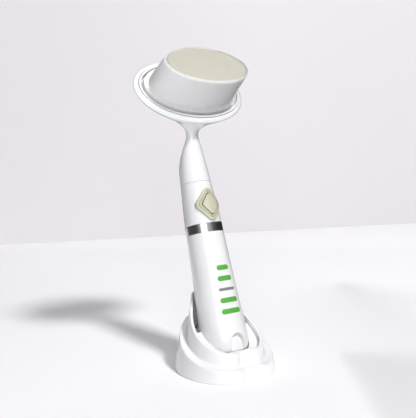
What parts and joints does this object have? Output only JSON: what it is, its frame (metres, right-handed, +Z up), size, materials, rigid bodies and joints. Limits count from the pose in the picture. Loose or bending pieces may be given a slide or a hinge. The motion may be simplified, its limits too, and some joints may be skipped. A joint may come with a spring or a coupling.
{
  "type": "facial cleansing brush with stand",
  "caption": "Battery facial cleansing brush with an oval bristle head on a leaning handle, standing in a flared round table stand with a sloping collar.",
  "frame": {"origin": "centre of the stand's foot circle, on the surface it stands on", "axes": "+Z up; -Y is the front, which the button and the bristles face; X is across the brush, and the plane X = 0 is its plane of symmetry; the handle leans 18.9 degrees from +Z towards +Y"},
  "size_m": [0.0624, 0.0659, 0.1529],
  "materials": {
    "stand_white": "gloss, smooth",
    "socket_white": "satin",
    "base_grey": "fine texture",
    "ballast_steel": "plain stamped",
    "screw_steel": "plated",
    "foot_rubber": "matte",
    "barrel_white": "gloss, smooth",
    "contact_metal": "nickel plated",
    "spring_steel": "bright wire",
    "cell_sleeve": "printed sleeve, no lettering",
    "cell_cap": "nickel plated",
    "ring_chrome": "mirror plated",
    "upper_white": "gloss, smooth",
    "carrier_plastic": "moulded",
    "seal_rubber": "matte",
    "board_green": "solder mask",
    "chip_black": "moulded",
    "switch_body": "moulded",
    "plunger_plastic": "moulded",
    "button_beige": "soft satin",
    "pad_beige": "soft satin",
    "motor_steel": "drawn can",
    "motor_plastic": "moulded",
    "wire_red": "insulation",
    "wire_black": "insulation",
    "shaft_steel": "ground",
    "weight_brass": "machined",
    "neck_white": "gloss, smooth",
    "ring_white": "gloss, smooth",
    "plate_white": "satin",
    "gasket_rubber": "matte",
    "bristle_white": "fine nylon filaments",
    "bristle_beige": "fine nylon filaments"
  },
  "bodies": {
    "stand": {"stand_shell": "stand_white", "stand_socket": "socket_white", "stand_base_plate": "base_grey", "stand_ballast": "ballast_steel", "stand_screws": "screw_steel", "stand_feet": "foot_rubber"},
    "barrel": {"barrel_sleeve": "barrel_white", "negative_contact": "contact_metal", "battery_spring": "spring_steel", "ground_strip": "contact_metal"},
    "battery": {"battery_cell": "cell_sleeve", "battery_terminal": "cell_cap"},
    "upper_unit": {"chrome_ring": "ring_chrome", "upper_housing": "upper_white", "carrier": "carrier_plastic", "seal_ring": "seal_rubber", "positive_contact": "contact_metal", "ground_contact": "contact_metal", "circuit_board": "board_green", "board_parts": "chip_black", "tactile_switch": "switch_body", "button_bezel": "button_beige", "motor_can": "motor_steel", "motor_cap": "motor_plastic", "motor_wire_red": "wire_red", "motor_wire_black": "wire_black", "neck_housing": "neck_white", "head_ring": "ring_white"},
    "button": {"button_pad": "pad_beige"},
    "plunger": {"switch_plunger": "plunger_plastic"},
    "rotor": {"motor_shaft": "shaft_steel", "eccentric_weight": "weight_brass"},
    "brush_head": {"brush_plate": "plate_white", "brush_gasket": "gasket_rubber", "bristle_ring": "bristle_white", "bristle_pad": "bristle_beige"}
  },
  "joints": [
    {"name": "lift_from_stand", "type": "slide", "parent": "stand", "child": "barrel", "axis": [0, 0.3239, 0.9461], "range_m": [0, 0.06]},
    {"name": "open_battery", "type": "slide", "parent": "barrel", "child": "upper_unit", "axis": [0, 0.3239, 0.9461], "range_m": [0, 0.11]},
    {"name": "battery_out", "type": "slide", "parent": "barrel", "child": "battery", "axis": [0, 0.3239, 0.9461], "range_m": [0, 0.055]},
    {"name": "button_press", "type": "slide", "parent": "upper_unit", "child": "button", "axis": [0, 0.9461, -0.3239], "range_m": [0, 0.0006], "stiffness_N_per_m": 900},
    {"name": "switch_press", "type": "slide", "parent": "upper_unit", "child": "plunger", "axis": [0, 0.9461, -0.3239], "range_m": [0, 0.0006]},
    {"name": "motor_spin", "type": "hinge", "parent": "upper_unit", "child": "rotor", "pos_m": [0, 0.02829, 0.09461], "axis": [0, 0.3239, 0.9461], "continuous": true},
    {"name": "brush_pull", "type": "slide", "parent": "upper_unit", "child": "brush_head", "axis": [0, -0.8151, 0.5793], "range_m": [0, 0.02]}
  ],
  "couplings": [
    {"joint": "battery_out", "follows": "open_battery", "ratio": 0.5},
    {"joint": "switch_press", "follows": "button_press", "ratio": 1}
  ]
}
